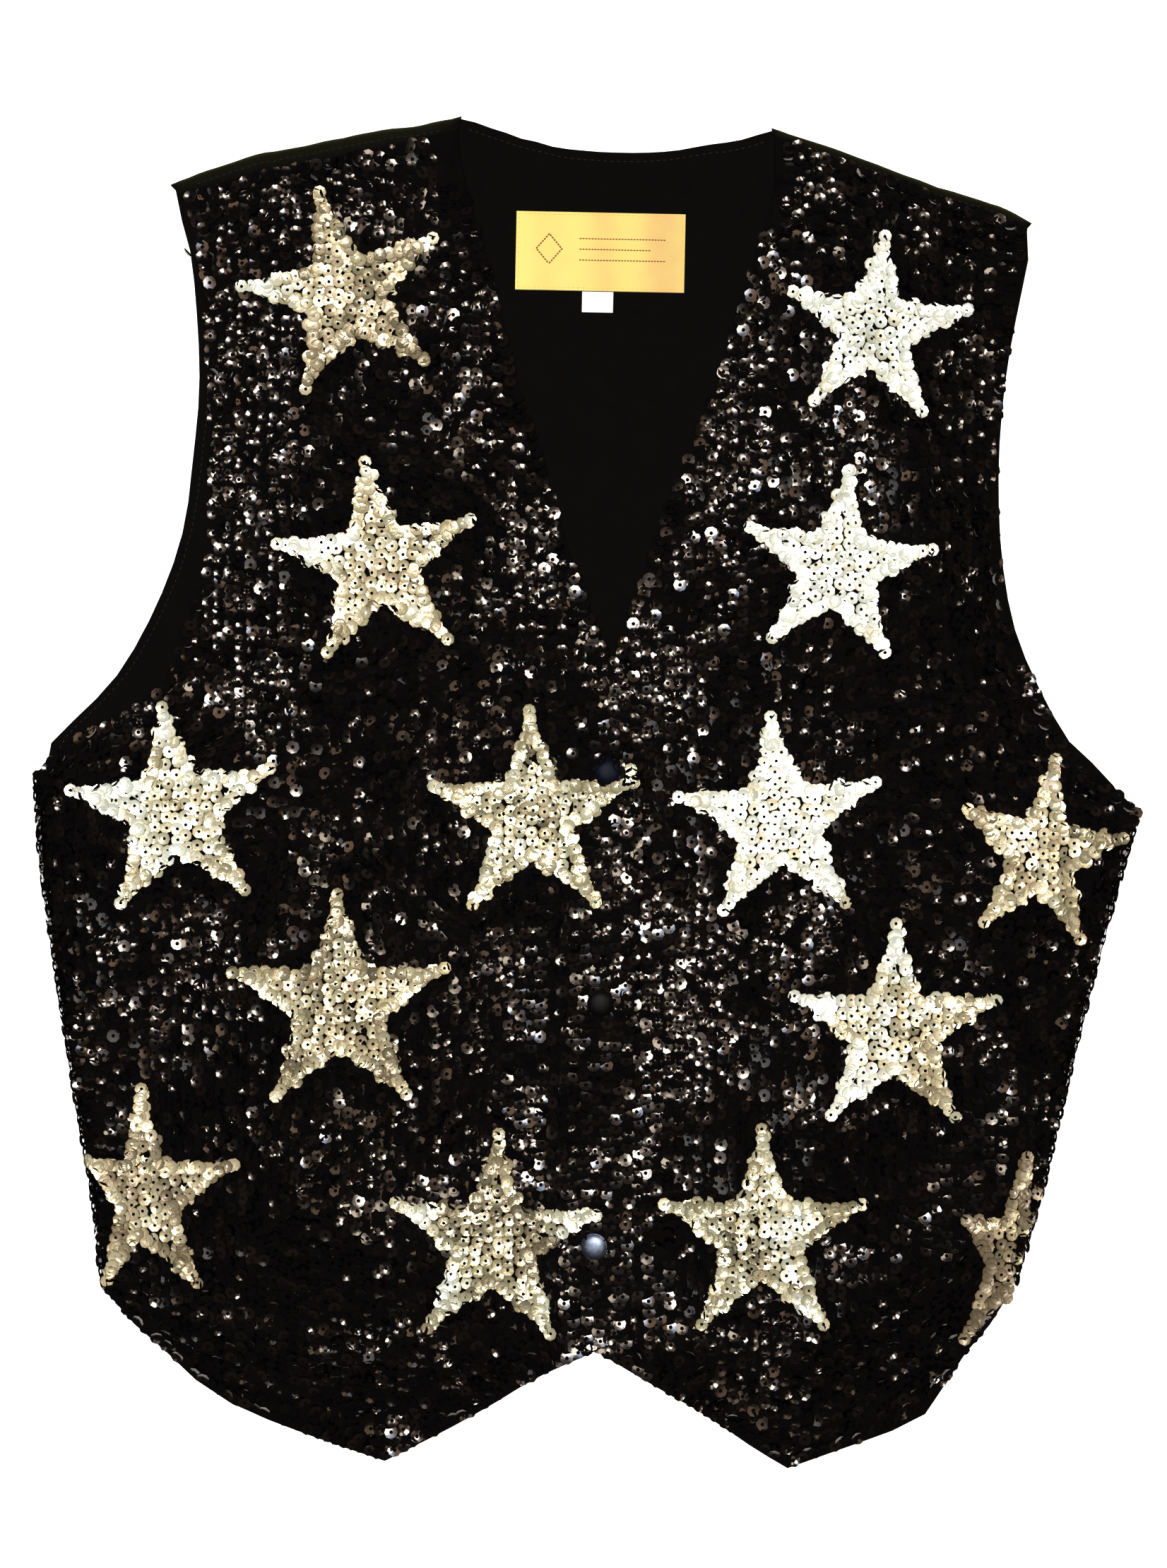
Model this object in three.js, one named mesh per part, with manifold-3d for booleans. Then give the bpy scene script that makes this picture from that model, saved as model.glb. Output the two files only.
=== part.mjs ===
import Module from 'manifold-3d';
import * as THREE from 'three';
import { mergeVertices } from 'three/addons/utils/BufferGeometryUtils.js';

// A sequined waistcoat that lies flat on a table, front side up, with its
// shoulders towards +Y and the wearer's right front on the -X side.
// Millimetres, with the table top at z = 0.

const { smoothstep, lerp, degToRad } = THREE.MathUtils;

// Cloth thicknesses and the space between layers
const BACK_WALL = 1.5;
const FRONT_WALL = 2;
const LABEL_WALL = 1;
const LAYER_GAP = 0.3;
const LOWEST_FRONT = BACK_WALL + LAYER_GAP;

// Grid density: rows from hem to shoulder, columns across
const SIDE_ROWS = 14;
const ARMHOLE_ROWS = 24;
const OUTER_COLUMNS = 8;
const INNER_COLUMNS = 7;
const BACK_SIDE_ROWS = 6;
const BACK_ARMHOLE_ROWS = 20;
const NECK_COLUMNS = 10;

// Where a front turns down to the table at the side seam
const TURN_ANGLES = [0, 30, 60, 90];
const BACK_SIDE_INSET = 4;

// The upper front lies on the lower one along a strip of this width
const OVERLAP = 29;
const OVERLAP_COLUMNS = [46, 35, 23, 12, 0];
const OVERLAP_TOP_Y = 66;
const OVERLAP_FADE_Y = 102;
const CENTRE_X = 8;
const FLAT_CENTRE = { near: 24, far: 60 };

// The back's hem is a shallow arc, and the fronts hang past it onto the table
const BACK_HEM = { middleX: -14, middleY: -246, halfWidth: 209, rise: 18 };
const HEM_DROP = { start: 14, end: 40 };

// Shoulder strips: the back's cloth folded over the shoulder onto the front
const FOLD_STEPS = 6;
const FOLD_OUTER = BACK_WALL + LAYER_GAP / 2;
const FOLD_INNER = LAYER_GAP / 2;
const FOLD_ROOT = 6;
const PLATE_EDGE = 3.5;
const PLATE_SKIP = 3;

// Fittings
const LABEL = { x: 5.9, y: 252.9, width: 79, height: 36.6, turn: -1.2 };
const SIZE_TAB = { x: 4.6, y: 229.4, width: 14.5, height: 9.6, turn: -1.2 };
const CAP = { radius: 6.25, height: 2.4, rim: 0.7, sides: 32 };
const CAPS = [
  { name: 'snap_cap_top', x: 9.6, y: 9.9 },
  { name: 'snap_cap_middle', x: 5.9, y: -98.3 },
  { name: 'snap_cap_bottom', x: 3, y: -211.5 },
];

// The wearer's right front, which lies on top at the centre
const RIGHT_FRONT = {
  sideHem: { x: -227, y: -231 },
  side: [
    { x: -231.5, y: -190 },
    { x: -242.5, y: -125 },
    { x: -250, y: -75 },
    { x: -256.5, y: -30 },
  ],
  underarm: { x: -258, y: 9 },
  armhole: [
    { x: -237, y: 27 },
    { x: -216, y: 38 },
    { x: -199, y: 50 },
    { x: -189, y: 75 },
    { x: -178, y: 105 },
    { x: -176, y: 140 },
    { x: -177, y: 195 },
    { x: -180, y: 233 },
    { x: -184, y: 268 },
  ],
  shoulderTip: { x: -190.5, y: 279.5 },
  shoulder: [
    { x: -175, y: 283.5 },
    { x: -153, y: 289.5 },
    { x: -119, y: 296 },
    { x: -98, y: 300.5 },
    { x: -77, y: 305.5 },
  ],
  neckPoint: { x: -61, y: 309 },
  neckline: [
    { x: -60, y: 298 },
    { x: -55, y: 276 },
    { x: -49.5, y: 257 },
    { x: -41, y: 226 },
    { x: -34, y: 194 },
    { x: -20, y: 150 },
    { x: -2.5, y: 93 },
    { x: 10, y: 61.5 },
  ],
  centreTop: { x: 25, y: 30 },
  centre: [
    { x: 24, y: -42 },
    { x: 21.5, y: -108 },
  ],
  centreHem: { x: 20, y: -251.5 },
  hemInner: [
    { x: 3, y: -261 },
    { x: -20.5, y: -271.5 },
    { x: -47, y: -288 },
    { x: -73, y: -302 },
  ],
  hemPoint: { x: -95, y: -313 },
  hemOuter: [
    { x: -126, y: -302.5 },
    { x: -152.5, y: -292.5 },
    { x: -179, y: -279 },
    { x: -205, y: -254 },
    { x: -218.5, y: -242.5 },
  ],
};

// The wearer's left front, which lies below at the centre
const LEFT_FRONT = {
  sideHem: { x: 199, y: -231 },
  side: [
    { x: 211, y: -191 },
    { x: 219, y: -158 },
    { x: 235, y: -92 },
    { x: 253, y: -26 },
  ],
  underarm: { x: 258, y: -9 },
  armhole: [
    { x: 242, y: 5.5 },
    { x: 224, y: 22 },
    { x: 213.5, y: 40 },
    { x: 199, y: 73 },
    { x: 192.5, y: 106 },
    { x: 191, y: 139 },
    { x: 192, y: 172 },
    { x: 196, y: 205 },
    { x: 202, y: 238 },
  ],
  shoulderTip: { x: 205, y: 263 },
  shoulder: [
    { x: 189, y: 270.5 },
    { x: 163, y: 279 },
    { x: 136.5, y: 289 },
    { x: 110, y: 298.5 },
  ],
  neckPoint: { x: 87.5, y: 306.5 },
  neckline: [
    { x: 87, y: 277 },
    { x: 81, y: 258.5 },
    { x: 74.5, y: 238.5 },
    { x: 60, y: 191 },
    { x: 45, y: 153.5 },
    { x: 30, y: 112 },
    { x: 18, y: 78 },
    { x: 8, y: 56 },
  ],
  centreTop: { x: 25 - OVERLAP, y: 30 },
  centre: [
    { x: 24 - OVERLAP, y: -42 },
    { x: 21.5 - OVERLAP, y: -108 },
  ],
  centreHem: { x: 20 - OVERLAP, y: -253.5 },
  hemInner: [
    { x: 6, y: -262.5 },
    { x: 32, y: -278 },
    { x: 58.5, y: -293.5 },
    { x: 72, y: -303.5 },
  ],
  hemPoint: { x: 93.5, y: -316.4 },
  hemOuter: [
    { x: 111.5, y: -310 },
    { x: 138, y: -300.5 },
    { x: 153, y: -294.5 },
    { x: 164, y: -286 },
    { x: 169, y: -274 },
    { x: 171.5, y: -268 },
    { x: 181.5, y: -256.5 },
    { x: 194, y: -241 },
  ],
};

// The back's edges that show past the fronts
const BACK = {
  rightFoldTip: { x: -195.5, y: 284.5 },
  rightFold: [
    { x: -169.5, y: 294 },
    { x: -154, y: 298.5 },
    { x: -131, y: 303 },
    { x: -98, y: 309.5 },
    { x: -79, y: 312 },
  ],
  rightFoldNeck: { x: -59, y: 316.4 },
  neck: [
    { x: -47, y: 311.5 },
    { x: -20.5, y: 303 },
    { x: 6, y: 300 },
    { x: 32, y: 299.5 },
    { x: 58.5, y: 303.5 },
  ],
  leftFoldNeck: { x: 86, y: 311 },
  leftFold: [
    { x: 190.5, y: 275 },
    { x: 164.5, y: 283 },
    { x: 138, y: 293 },
    { x: 111.5, y: 302.5 },
  ],
  leftFoldTip: { x: 208, y: 266.5 },
  leftArmhole: [
    { x: 243, y: 7.5 },
    { x: 225.5, y: 24 },
    { x: 216, y: 40 },
    { x: 201, y: 73.5 },
    { x: 194.5, y: 106 },
    { x: 192.5, y: 139 },
    { x: 193.5, y: 172 },
    { x: 197.5, y: 205 },
    { x: 204, y: 238 },
    { x: 207, y: 255 },
  ],
  rightArmhole: [
    { x: -252, y: 22 },
    { x: -233.5, y: 40.5 },
    { x: -219, y: 57 },
    { x: -201, y: 90 },
    { x: -189.5, y: 123 },
    { x: -185, y: 156 },
    { x: -182, y: 189 },
    { x: -183, y: 222 },
    { x: -186.5, y: 255 },
    { x: -191, y: 271 },
  ],
};

// Soft ridges where the laid cloth doesn't lie quite flat
const RIDGES = [
  { x: -150, y: 215, angle: 75, length: 70, width: 26, height: 1.1 },
  { x: -95, y: 120, angle: -35, length: 80, width: 30, height: 1.2 },
  { x: -165, y: 10, angle: 20, length: 90, width: 28, height: 1.3 },
  { x: -120, y: -120, angle: 80, length: 95, width: 32, height: 1.2 },
  { x: -60, y: -230, angle: -25, length: 60, width: 24, height: 0.9 },
  { x: 125, y: 205, angle: -70, length: 80, width: 26, height: 1.2 },
  { x: 105, y: 75, angle: 35, length: 70, width: 28, height: 1.1 },
  { x: 165, y: -25, angle: -30, length: 85, width: 28, height: 1.3 },
  { x: 110, y: -135, angle: 85, length: 90, width: 30, height: 1.2 },
  { x: 150, y: -225, angle: 40, length: 55, width: 22, height: 1 },
];
const RIDGE_SIDE_FADE = 45;

const COLOURS = {
  blackCloth: { color: 0x0b0b0c, roughness: 0.85, metalness: 0 },
  sequins: { color: 0x18181b, roughness: 0.3, metalness: 0.3 },
  label: { color: 0xf0c869, roughness: 0.7, metalness: 0 },
  tab: { color: 0xf2f1ec, roughness: 0.8, metalness: 0 },
  gunmetal: { color: 0x343a46, roughness: 0.25, metalness: 0.9 },
};

const wasm = await Module();
wasm.setup();

const vector = ({ x, y, z = 0 }) => new THREE.Vector3(x, y, z);

// Evenly spaced points on a smooth curve from start to end through some rows
function curvePoints(start, rows, end, steps) {
  const curve = new THREE.CatmullRomCurve3([start, ...rows, end].map(vector));
  return curve.getSpacedPoints(steps);
}

const joined = (first, second) => [...first, ...second.slice(1)];

const evenShares = (steps) => Array.from({ length: steps + 1 }, (unused, i) => i / steps);

// The four edges of a front's grid, each as a list of points
function frontEdges(front) {
  const side = curvePoints(front.sideHem, front.side, front.underarm, SIDE_ROWS);
  const armhole = curvePoints(front.underarm, front.armhole, front.shoulderTip, ARMHOLE_ROWS);
  const centre = curvePoints(front.centreTop, front.centre, front.centreHem, SIDE_ROWS);
  const neckline = curvePoints(front.neckPoint, front.neckline, front.centreTop, ARMHOLE_ROWS);
  const outer = curvePoints(front.hemPoint, front.hemOuter, front.sideHem, OUTER_COLUMNS);
  const inner = curvePoints(front.centreHem, front.hemInner, front.hemPoint, INNER_COLUMNS);
  const columns = OUTER_COLUMNS + INNER_COLUMNS;
  return {
    outside: joined(side, armhole),
    inside: joined(centre.reverse(), neckline.reverse()),
    hem: joined(outer.reverse(), inner.reverse()),
    shoulder: curvePoints(front.shoulderTip, front.shoulder, front.neckPoint, columns),
    shares: evenShares(columns),
  };
}

// A row of the patch that blends the four edges, with its columns at their
// shares of the way across
function blendedRow(edges, rowIndex) {
  const v = rowIndex / (edges.outside.length - 1);
  const last = edges.hem.length - 1;
  const lowCorners = [edges.hem[0], edges.hem[last]];
  const highCorners = [edges.shoulder[0], edges.shoulder[last]];
  return edges.hem.map((hemPoint, column) => {
    const u = edges.shares[column];
    const across = edges.outside[rowIndex].clone().lerp(edges.inside[rowIndex], u);
    const along = hemPoint.clone().lerp(edges.shoulder[column], v);
    const low = lowCorners[0].clone().lerp(lowCorners[1], u);
    const high = highCorners[0].clone().lerp(highCorners[1], u);
    return across.add(along).sub(low.lerp(high, v));
  });
}

// Cumulative length at each point of a row
function rowLengths(row) {
  const lengths = [0];
  for (let i = 1; i < row.length; i += 1) {
    lengths.push(lengths[i - 1] + row[i].distanceTo(row[i - 1]));
  }
  return lengths;
}

function pointAtLength(row, lengths, length) {
  let i = 1;
  while (i < row.length - 1 && lengths[i] < length) {
    i += 1;
  }
  const share = (length - lengths[i - 1]) / (lengths[i] - lengths[i - 1]);
  return row[i - 1].clone().lerp(row[i], share);
}

// Lengths along a row where its columns stand: close together at the turned
// side and at the overlap, even between, with one column on the hem's point
function columnLengths(total, middle, turnWidths, overlapColumns) {
  const start = turnWidths[turnWidths.length - 1];
  const end = total - overlapColumns[0];
  const stations = [...turnWidths];
  for (let i = 1; i <= OUTER_COLUMNS; i += 1) {
    stations.push(lerp(start, middle, i / OUTER_COLUMNS));
  }
  for (let i = 1; i < INNER_COLUMNS; i += 1) {
    stations.push(lerp(middle, end, i / INNER_COLUMNS));
  }
  return [...stations, ...overlapColumns.map((distance) => total - distance)];
}

function backHemY(x) {
  const share = (x - BACK_HEM.middleX) / BACK_HEM.halfWidth;
  return BACK_HEM.middleY + BACK_HEM.rise * share * share;
}

function ridgeHeight(x, y) {
  const centreFade = smoothstep(Math.abs(x - CENTRE_X), FLAT_CENTRE.near, FLAT_CENTRE.far);
  const heights = RIDGES.map((ridge) => {
    const turn = degToRad(ridge.angle);
    const along = (x - ridge.x) * Math.cos(turn) + (y - ridge.y) * Math.sin(turn);
    const aside = (y - ridge.y) * Math.cos(turn) - (x - ridge.x) * Math.sin(turn);
    return ridge.height * Math.exp(-((along / ridge.length) ** 2) - (aside / ridge.width) ** 2);
  });
  return centreFade * heights.reduce((sum, height) => sum + height, 0);
}

// Height of a front's underside above the table
function undersideHeight(point, sideDistance, centreDistance, onTop) {
  const pastBack = backHemY(point.x) - point.y;
  const besideCentre = smoothstep(Math.abs(point.x - CENTRE_X), FLAT_CENTRE.near, FLAT_CENTRE.far);
  const dropped = besideCentre * smoothstep(pastBack, HEM_DROP.start, HEM_DROP.end);
  const ridge = ridgeHeight(point.x, point.y) * smoothstep(sideDistance, 0, RIDGE_SIDE_FADE);
  const [rampEnd, rampStart] = OVERLAP_COLUMNS;
  const overlapShare = (1 - smoothstep(centreDistance, rampStart, rampEnd))
    * (1 - smoothstep(point.y, OVERLAP_TOP_Y, OVERLAP_FADE_Y));
  const lift = onTop ? overlapShare * (FRONT_WALL + LAYER_GAP) : 0;
  return LOWEST_FRONT * (1 - dropped) + ridge + lift;
}

// One closed solid between an upper and a lower grid of points
function clothWall(upper, lower) {
  const rows = upper.length;
  const columns = upper[0].length;
  const points = [...upper.flat(), ...lower.flat()];
  const up = (i, j) => i * columns + j;
  const down = (i, j) => (rows + i) * columns + j;
  const index = [];
  const quad = (a, b, c, d) => index.push(a, b, c, a, c, d);
  for (let i = 0; i < rows - 1; i += 1) {
    for (let j = 0; j < columns - 1; j += 1) {
      quad(up(i, j), up(i, j + 1), up(i + 1, j + 1), up(i + 1, j));
      quad(down(i, j), down(i + 1, j), down(i + 1, j + 1), down(i, j + 1));
    }
    quad(down(i + 1, 0), down(i, 0), up(i, 0), up(i + 1, 0));
    quad(down(i, columns - 1), down(i + 1, columns - 1), up(i + 1, columns - 1), up(i, columns - 1));
  }
  for (let j = 0; j < columns - 1; j += 1) {
    quad(down(0, j), down(0, j + 1), up(0, j + 1), up(0, j));
    quad(down(rows - 1, j + 1), down(rows - 1, j), up(rows - 1, j), up(rows - 1, j + 1));
  }
  const outwards = signedVolume(points, index) > 0 ? index : index.reverse();
  const geometry = new THREE.BufferGeometry().setFromPoints(points);
  geometry.setIndex(outwards);
  geometry.computeVertexNormals();
  return geometry;
}

function signedVolume(points, index) {
  let volume = 0;
  for (let i = 0; i < index.length; i += 3) {
    const [a, b, c] = [points[index[i]], points[index[i + 1]], points[index[i + 2]]];
    volume += a.dot(b.clone().cross(c)) / 6;
  }
  return volume;
}

// A front: a wall that lies on the back, turns down to the table at the side
// seam and hangs past the back's hem
function makeFront(front, onTop) {
  const edges = frontEdges(front);
  const turnOuter = LOWEST_FRONT + FRONT_WALL;
  const turns = TURN_ANGLES.map(degToRad);
  const turnWidths = turns.map((turn) => turnOuter * (1 - Math.cos(turn)));
  const upper = [];
  const lower = [];
  edges.outside.forEach((edgePoint, rowIndex) => {
    const row = blendedRow(edges, rowIndex);
    const lengths = rowLengths(row);
    const total = lengths[lengths.length - 1];
    const stations = columnLengths(total, lengths[OUTER_COLUMNS], turnWidths, OVERLAP_COLUMNS);
    const turned = rowIndex < SIDE_ROWS;
    const upperRow = [];
    const lowerRow = [];
    stations.forEach((station, column) => {
      const turn = turned && column < turns.length ? turns[column] : Math.PI / 2;
      const point = pointAtLength(row, lengths, station);
      const height = undersideHeight(point, station, total - station, onTop);
      const thickness = FRONT_WALL * Math.cos(turn);
      const innerPoint = pointAtLength(row, lengths, station + thickness);
      upperRow.push(vector({ ...point, z: (height + FRONT_WALL) * Math.sin(turn) }));
      lowerRow.push(vector({ ...innerPoint, z: height * Math.sin(turn) }));
    });
    upper.push(upperRow);
    lower.push(lowerRow);
  });
  return clothWall(upper, lower);
}

// The back's cloth where it folds over the shoulder: its section is a hook
// from the plate, round the fold line and along to the seam with the front
function makeShoulderStrip(foldLine, seamLine) {
  const upper = [];
  const lower = [];
  foldLine.forEach((foldPoint, station) => {
    const inwards = seamLine[station].clone().sub(foldPoint);
    const width = inwards.length() - LAYER_GAP;
    inwards.normalize();
    const place = (depth, z) => vector({ ...foldPoint.clone().addScaledVector(inwards, depth), z });
    const outerRow = [place(FOLD_ROOT, 0)];
    const innerRow = [place(FOLD_ROOT, BACK_WALL)];
    for (let step = 0; step <= FOLD_STEPS; step += 1) {
      const turn = Math.PI * (1.5 - step / FOLD_STEPS);
      const [side, height] = [Math.cos(turn), Math.sin(turn)];
      outerRow.push(place(FOLD_OUTER * (1 + side), FOLD_OUTER * (1 + height)));
      innerRow.push(place(FOLD_OUTER + FOLD_INNER * side, FOLD_OUTER + FOLD_INNER * height));
    }
    outerRow.push(place(width, 2 * FOLD_OUTER));
    innerRow.push(place(width, LOWEST_FRONT));
    upper.push(outerRow);
    lower.push(innerRow);
  });
  return clothWall(upper, lower);
}

const movedX = (rows, distance) => rows.map((row) => ({ x: row.x + distance, y: row.y }));

// A fold line moved in onto the flat part of the back, at some of its points
function plateEdge(foldLine, seamLine) {
  const moved = foldLine.map((point, i) => {
    const inwards = seamLine[i].clone().sub(point).normalize();
    return point.clone().addScaledVector(inwards, PLATE_EDGE);
  });
  return moved.filter((point, i) => i % PLATE_SKIP === 0);
}

// The back's hem, from the wearer's right side to the left
function hemArc(shares) {
  return shares.map((share) => {
    const x = BACK_HEM.middleX + BACK_HEM.halfWidth * (2 * share - 1);
    return vector({ x, y: backHemY(x) });
  });
}

// One side of the back, from its hem up past the underarm to the fold's tip
function backSide(corner, front, inset, armhole, tip) {
  const [underarm] = movedX([front.underarm], inset);
  const side = curvePoints(corner, movedX(front.side, inset), underarm, BACK_SIDE_ROWS);
  return joined(side, curvePoints(underarm, armhole, tip, BACK_ARMHOLE_ROWS));
}

// The flat part of the back
function makeBackPlate(rightEdge, leftEdge) {
  const rightTip = rightEdge[0];
  const leftTip = leftEdge[leftEdge.length - 1];
  const neckEnds = [rightEdge[rightEdge.length - 1], leftEdge[0]];
  const neck = curvePoints(neckEnds[0], BACK.neck, neckEnds[1], NECK_COLUMNS);
  const shoulder = joined(joined(rightEdge, neck), leftEdge);
  const lengths = rowLengths(shoulder);
  const shares = lengths.map((length) => length / lengths[lengths.length - 1]);
  const hem = hemArc(shares);
  const [rightCorner, leftCorner] = [hem[0], hem[hem.length - 1]];
  const outside = backSide(rightCorner, RIGHT_FRONT, BACK_SIDE_INSET, BACK.rightArmhole, rightTip);
  const inside = backSide(leftCorner, LEFT_FRONT, -BACK_SIDE_INSET, BACK.leftArmhole, leftTip);
  const edges = { outside, inside, hem, shoulder, shares };
  const rows = outside.map((point, rowIndex) => blendedRow(edges, rowIndex));
  const atHeight = (z) => rows.map((row) => row.map((point) => vector({ ...point, z })));
  return clothWall(atHeight(BACK_WALL), atHeight(0));
}

function toSolid(geometry) {
  const plain = geometry.clone();
  plain.deleteAttribute('normal');
  plain.deleteAttribute('uv');
  const merged = mergeVertices(plain);
  const vertProperties = new Float32Array(merged.attributes.position.array);
  const triVerts = new Uint32Array(merged.index.array);
  return new wasm.Manifold(new wasm.Mesh({ numProp: 3, vertProperties, triVerts }));
}

function toGeometry(solid) {
  const { vertProperties, triVerts } = solid.getMesh();
  const geometry = new THREE.BufferGeometry();
  geometry.setAttribute('position', new THREE.BufferAttribute(vertProperties, 3));
  geometry.setIndex(new THREE.BufferAttribute(triVerts, 1));
  geometry.computeVertexNormals();
  return geometry;
}

function makeBack() {
  const rightSeam = frontEdges(RIGHT_FRONT).shoulder;
  const leftSeam = frontEdges(LEFT_FRONT).shoulder;
  const steps = rightSeam.length - 1;
  const rightFold = curvePoints(BACK.rightFoldTip, BACK.rightFold, BACK.rightFoldNeck, steps);
  const leftFold = curvePoints(BACK.leftFoldTip, BACK.leftFold, BACK.leftFoldNeck, steps);
  const rightEdge = plateEdge(rightFold, rightSeam);
  const leftEdge = plateEdge(leftFold, leftSeam).reverse();
  const plate = toSolid(makeBackPlate(rightEdge, leftEdge));
  const rightStrip = toSolid(makeShoulderStrip(rightFold, rightSeam));
  const leftStrip = toSolid(makeShoulderStrip(leftFold, leftSeam));
  return toGeometry(plate.add(rightStrip).add(leftStrip));
}

// A snap's cap: a short rim with a dome on it
function makeCap() {
  const profile = [new THREE.Vector2(0, 0), new THREE.Vector2(CAP.radius, 0)];
  const domeSteps = 6;
  for (let step = 0; step <= domeSteps; step += 1) {
    const turn = (Math.PI / 2) * (step / domeSteps);
    const dome = CAP.height - CAP.rim;
    const radius = step === domeSteps ? 0 : CAP.radius * Math.cos(turn);
    profile.push(new THREE.Vector2(radius, CAP.rim + dome * Math.sin(turn)));
  }
  return new THREE.LatheGeometry(profile, CAP.sides).rotateX(Math.PI / 2);
}

function addPiece(group, name, geometry, look) {
  const material = new THREE.MeshStandardMaterial({ ...look });
  const mesh = new THREE.Mesh(geometry, material);
  mesh.name = name;
  group.add(mesh);
  return mesh;
}

function addLabel(group, name, size, look) {
  const geometry = new THREE.BoxGeometry(size.width, size.height, LABEL_WALL);
  const mesh = addPiece(group, name, geometry, look);
  mesh.position.set(size.x, size.y, LOWEST_FRONT + LABEL_WALL / 2);
  mesh.rotation.z = degToRad(size.turn);
}

const waistcoat = new THREE.Group();
addPiece(waistcoat, 'back', makeBack(), COLOURS.blackCloth);
addPiece(waistcoat, 'front_left', makeFront(LEFT_FRONT, false), COLOURS.sequins);
addPiece(waistcoat, 'front_right', makeFront(RIGHT_FRONT, true), COLOURS.sequins);
addLabel(waistcoat, 'label', LABEL, COLOURS.label);
addLabel(waistcoat, 'size_tab', SIZE_TAB, COLOURS.tab);

const capSeat = LOWEST_FRONT + FRONT_WALL + LAYER_GAP + FRONT_WALL + LAYER_GAP;
for (const cap of CAPS) {
  const mesh = addPiece(waistcoat, cap.name, makeCap(), COLOURS.gunmetal);
  mesh.position.set(cap.x, cap.y, capSeat);
}

export default waistcoat;
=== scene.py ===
"""Looks of a sequined waistcoat that lies flat on a table, front side up.

The scene is in metres. The sizes and places named here are in millimetres and degrees, apart
from the lights and the rays. The wearer's right front is on the -X side and laps over the left.
"""
import math
import random

import bmesh
import bpy
from mathutils import Matrix, Vector, kdtree, noise
from mathutils.bvhtree import BVHTree


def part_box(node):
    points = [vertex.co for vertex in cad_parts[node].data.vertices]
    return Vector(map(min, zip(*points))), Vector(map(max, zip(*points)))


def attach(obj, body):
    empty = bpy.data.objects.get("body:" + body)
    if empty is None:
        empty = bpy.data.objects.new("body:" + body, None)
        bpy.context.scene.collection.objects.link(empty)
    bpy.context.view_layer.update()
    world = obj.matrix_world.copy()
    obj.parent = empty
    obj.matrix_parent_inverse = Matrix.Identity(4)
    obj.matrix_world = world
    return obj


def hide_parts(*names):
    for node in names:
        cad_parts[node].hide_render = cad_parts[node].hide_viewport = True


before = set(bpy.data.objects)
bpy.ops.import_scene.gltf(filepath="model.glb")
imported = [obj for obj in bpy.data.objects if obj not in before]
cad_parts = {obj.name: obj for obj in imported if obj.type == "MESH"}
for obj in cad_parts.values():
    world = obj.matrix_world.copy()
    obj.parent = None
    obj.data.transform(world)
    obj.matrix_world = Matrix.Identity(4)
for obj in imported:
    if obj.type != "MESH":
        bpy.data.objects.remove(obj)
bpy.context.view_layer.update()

MM = 0.001
UP = Vector((0, 0, 1))
SEED = 14
chance = random.Random(SEED)
noise.seed_set(SEED)


def table(columns, rows):
    """Rows of numbers under named columns."""
    return [dict(zip(columns.split(), row)) for row in rows]


# Cup sequins, sewn on in upright strings
SEQUIN_RADIUS = 3.15
SEQUIN_CREASE = 1.9
BLACK_HOLE = 0.95
SILVER_HOLE = 0.82
SEQUIN_SIDES = 8
SEQUIN_WALL = 0.12
SEQUIN_UNDERSIDE = 0.6
SEQUIN_FLOOR = 0.05
SEWN_LIFT = 0.25
LIFT_PLAY = 0.3
STRING_GAP = 5.0
STRING_STEP = 5.0
STRING_START = 1.5
STRING_WANDER = 2.0
WANDER_ACROSS = 0.02
WANDER_ALONG = 0.012
SEWING_SLIP = 1.0
EDGE_INSET = 1.5
HOLE_ROOM = 1.1
HEM_ROOM = 2.6
HEM_BELOW = -232
GAP_TO_FILL = 3.55
FILL_STEP = 1.3
FILL_LIFT = 0.4
FILL_LOOK_BACK = 60
CUP_SLOPES = [(2, 5), (4, 14), (7, 20), (12, 28)]
LIVELY_CUPS = [0.08, 0.27, 0.37, 0.28]
CALM_CUPS = [0.84, 0.12, 0.03, 0.01]
SILVER_CUPS = [0.25, 0.40, 0.25, 0.10]
SHINGLE_TILT = -4.0
CALM_SHINGLE_TILT = -26.0
STRAY_SHARE = 0.06
LIVELY_TILT = 10.5
LOW_LIVELY_TILT = 8.0
LOW_FROM = -60
LOW_FADE = 90
CALM_TILT = 4.5
SILVER_TILT = 6.5
RIPPLE_TILT = 7.0
RIPPLE_WIDTH = 17.0

# Where each unevenness is read in the noise
RIPPLE_LAYER = 2.1
WANDER_LAYER = 1.7
CALM_LAYER = 8.3
SILVER_LAYER = 5.7
FOLD_LAYER = 3.3

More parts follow.
